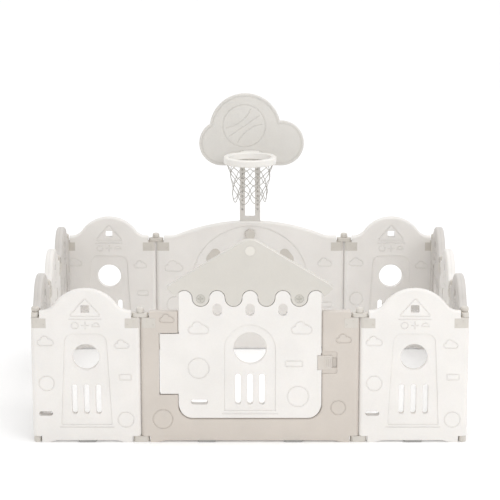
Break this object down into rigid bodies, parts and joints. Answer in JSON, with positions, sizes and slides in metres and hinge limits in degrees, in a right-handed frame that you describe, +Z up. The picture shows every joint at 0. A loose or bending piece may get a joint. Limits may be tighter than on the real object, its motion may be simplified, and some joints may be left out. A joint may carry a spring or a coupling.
{
  "type": "playpen",
  "caption": "Folding child's playpen: a rectangle of hinged moulded panels with a latched gate, a gable roof and a height-adjustable toy hoop.",
  "frame": {"origin": "on the floor at the middle of the fence's outline", "axes": "+Z up, -Y to the gate, +X along the gate to its latch side"},
  "size_m": [1.6016, 1.2662, 1.113],
  "materials": {
    "white_shell": "satin",
    "greige_shell": "satin",
    "roof_shell": "satin",
    "bracket": "satin",
    "latch_fitting": "satin",
    "screw": "satin",
    "rubber": "matte",
    "steel": "satin",
    "post": "satin",
    "board": "satin",
    "rim": "satin",
    "net": "matte"
  },
  "bodies": {
    "gate": {"gate_frame": "greige_shell", "gate_brackets": "bracket", "gate_feet": "rubber", "door_hinge_pins": "steel"},
    "door": {"door": "white_shell", "roof": "roof_shell", "roof_screws": "screw"},
    "latch": {"latch_slider": "latch_fitting"},
    "front_left": {"front_left_panel": "white_shell", "front_left_brackets": "bracket", "front_left_foot": "rubber"},
    "front_right": {"front_right_panel": "white_shell", "front_right_brackets": "bracket", "front_right_foot": "rubber"},
    "left_front": {"left_front_panel": "greige_shell", "left_front_brackets": "bracket", "left_front_foot": "rubber"},
    "left_middle": {"left_middle_panel": "white_shell", "left_middle_brackets": "bracket", "left_middle_foot": "rubber"},
    "left_back": {"left_back_panel": "greige_shell", "left_back_brackets": "bracket", "left_back_foot": "rubber"},
    "right_front": {"right_front_panel": "greige_shell", "right_front_brackets": "bracket", "right_front_foot": "rubber"},
    "right_middle": {"right_middle_panel": "white_shell", "right_middle_brackets": "bracket", "right_middle_foot": "rubber"},
    "right_back": {"right_back_panel": "greige_shell", "right_back_brackets": "bracket", "right_back_foot": "rubber"},
    "back_left": {"back_left_panel": "white_shell", "back_left_brackets": "bracket", "back_left_foot": "rubber"},
    "back_right": {"back_right_panel": "white_shell", "back_right_brackets": "bracket", "back_right_foot": "rubber"},
    "back_centre": {"back_centre_panel": "white_shell", "back_centre_brackets": "bracket", "back_centre_feet": "rubber", "back_centre_plugs": "bracket", "hoop_post": "post", "post_knob": "bracket"},
    "hoop": {"hoop_carriage": "post", "backboard": "board", "hoop_rim": "rim", "hoop_net": "net"},
    "gate_left_connector": {"gate_left_connector": "bracket"},
    "corner_front_left_connector": {"corner_front_left_connector": "bracket"},
    "left_front_connector": {"left_front_connector": "bracket"},
    "left_back_connector": {"left_back_connector": "bracket"},
    "corner_back_left_connector": {"corner_back_left_connector": "bracket"},
    "back_left_connector": {"back_left_connector": "bracket"},
    "gate_right_connector": {"gate_right_connector": "bracket"},
    "corner_front_right_connector": {"corner_front_right_connector": "bracket"},
    "right_front_connector": {"right_front_connector": "bracket"},
    "right_back_connector": {"right_back_connector": "bracket"},
    "corner_back_right_connector": {"corner_back_right_connector": "bracket"},
    "back_right_connector": {"back_right_connector": "bracket"}
  },
  "joints": [
    {"name": "gate_left_pin_a", "type": "hinge", "parent": "gate", "child": "gate_left_connector", "pos_m": [-0.38385, -0.61615, 0.45], "axis": [0, 0, 1], "range_deg": [0, 30]},
    {"name": "gate_left_pin_b", "type": "hinge", "parent": "gate_left_connector", "child": "front_left", "pos_m": [-0.41615, -0.61615, 0.45], "axis": [0, 0, 1], "range_deg": [0, 30]},
    {"name": "corner_front_left_pin_a", "type": "hinge", "parent": "front_left", "child": "corner_front_left_connector", "pos_m": [-0.78385, -0.61615, 0.45], "axis": [0, 0, 1], "range_deg": [0, 30]},
    {"name": "corner_front_left_pin_b", "type": "hinge", "parent": "corner_front_left_connector", "child": "left_front", "pos_m": [-0.78385, -0.58385, 0.45], "axis": [0, 0, 1], "range_deg": [0, 30]},
    {"name": "left_front_pin_a", "type": "hinge", "parent": "left_front", "child": "left_front_connector", "pos_m": [-0.78385, -0.21615, 0.45], "axis": [0, 0, 1], "range_deg": [0, 30]},
    {"name": "left_front_pin_b", "type": "hinge", "parent": "left_front_connector", "child": "left_middle", "pos_m": [-0.78385, -0.18385, 0.45], "axis": [0, 0, 1], "range_deg": [0, 30]},
    {"name": "left_back_pin_a", "type": "hinge", "parent": "left_middle", "child": "left_back_connector", "pos_m": [-0.78385, 0.18385, 0.45], "axis": [0, 0, 1], "range_deg": [0, 30]},
    {"name": "left_back_pin_b", "type": "hinge", "parent": "left_back_connector", "child": "left_back", "pos_m": [-0.78385, 0.21615, 0.45], "axis": [0, 0, 1], "range_deg": [0, 30]},
    {"name": "corner_back_left_pin_a", "type": "hinge", "parent": "left_back", "child": "corner_back_left_connector", "pos_m": [-0.78385, 0.58385, 0.45], "axis": [0, 0, 1], "range_deg": [0, 30]},
    {"name": "corner_back_left_pin_b", "type": "hinge", "parent": "corner_back_left_connector", "child": "back_left", "pos_m": [-0.78385, 0.61615, 0.45], "axis": [0, 0, 1], "range_deg": [0, 30]},
    {"name": "back_left_pin_a", "type": "hinge", "parent": "back_left", "child": "back_left_connector", "pos_m": [-0.41615, 0.61615, 0.45], "axis": [0, 0, 1], "range_deg": [0, 30]},
    {"name": "back_left_pin_b", "type": "hinge", "parent": "back_left_connector", "child": "back_centre", "pos_m": [-0.38385, 0.61615, 0.45], "axis": [0, 0, 1], "range_deg": [0, 30]},
    {"name": "gate_right_pin_a", "type": "hinge", "parent": "gate", "child": "gate_right_connector", "pos_m": [0.38385, -0.61615, 0.45], "axis": [0, 0, 1], "range_deg": [-30, 0]},
    {"name": "gate_right_pin_b", "type": "hinge", "parent": "gate_right_connector", "child": "front_right", "pos_m": [0.41615, -0.61615, 0.45], "axis": [0, 0, 1], "range_deg": [-30, 0]},
    {"name": "corner_front_right_pin_a", "type": "hinge", "parent": "front_right", "child": "corner_front_right_connector", "pos_m": [0.78385, -0.61615, 0.45], "axis": [0, 0, 1], "range_deg": [-30, 0]},
    {"name": "corner_front_right_pin_b", "type": "hinge", "parent": "corner_front_right_connector", "child": "right_front", "pos_m": [0.78385, -0.58385, 0.45], "axis": [0, 0, 1], "range_deg": [-30, 0]},
    {"name": "right_front_pin_a", "type": "hinge", "parent": "right_front", "child": "right_front_connector", "pos_m": [0.78385, -0.21615, 0.45], "axis": [0, 0, 1], "range_deg": [-30, 0]},
    {"name": "right_front_pin_b", "type": "hinge", "parent": "right_front_connector", "child": "right_middle", "pos_m": [0.78385, -0.18385, 0.45], "axis": [0, 0, 1], "range_deg": [-30, 0]},
    {"name": "right_back_pin_a", "type": "hinge", "parent": "right_middle", "child": "right_back_connector", "pos_m": [0.78385, 0.18385, 0.45], "axis": [0, 0, 1], "range_deg": [-30, 0]},
    {"name": "right_back_pin_b", "type": "hinge", "parent": "right_back_connector", "child": "right_back", "pos_m": [0.78385, 0.21615, 0.45], "axis": [0, 0, 1], "range_deg": [-30, 0]},
    {"name": "corner_back_right_pin_a", "type": "hinge", "parent": "right_back", "child": "corner_back_right_connector", "pos_m": [0.78385, 0.58385, 0.45], "axis": [0, 0, 1], "range_deg": [-30, 0]},
    {"name": "corner_back_right_pin_b", "type": "hinge", "parent": "corner_back_right_connector", "child": "back_right", "pos_m": [0.78385, 0.61615, 0.45], "axis": [0, 0, 1], "range_deg": [-30, 0]},
    {"name": "back_right_pin_a", "type": "hinge", "parent": "back_right", "child": "back_right_connector", "pos_m": [0.41615, 0.61615, 0.45], "axis": [0, 0, 1], "range_deg": [-90, 90]},
    {"name": "door_hinge", "type": "hinge", "parent": "gate", "child": "door", "pos_m": [-0.297, -0.61615, 0.3], "axis": [0, 0, -1], "range_deg": [-90, 90]},
    {"name": "latch_slide", "type": "slide", "parent": "gate", "child": "latch", "axis": [1, 0, 0], "range_m": [0, 0.017]},
    {"name": "hoop_height", "type": "slide", "parent": "back_centre", "child": "hoop", "axis": [0, 0, 1], "range_m": [-0.076, 0.095]}
  ]
}
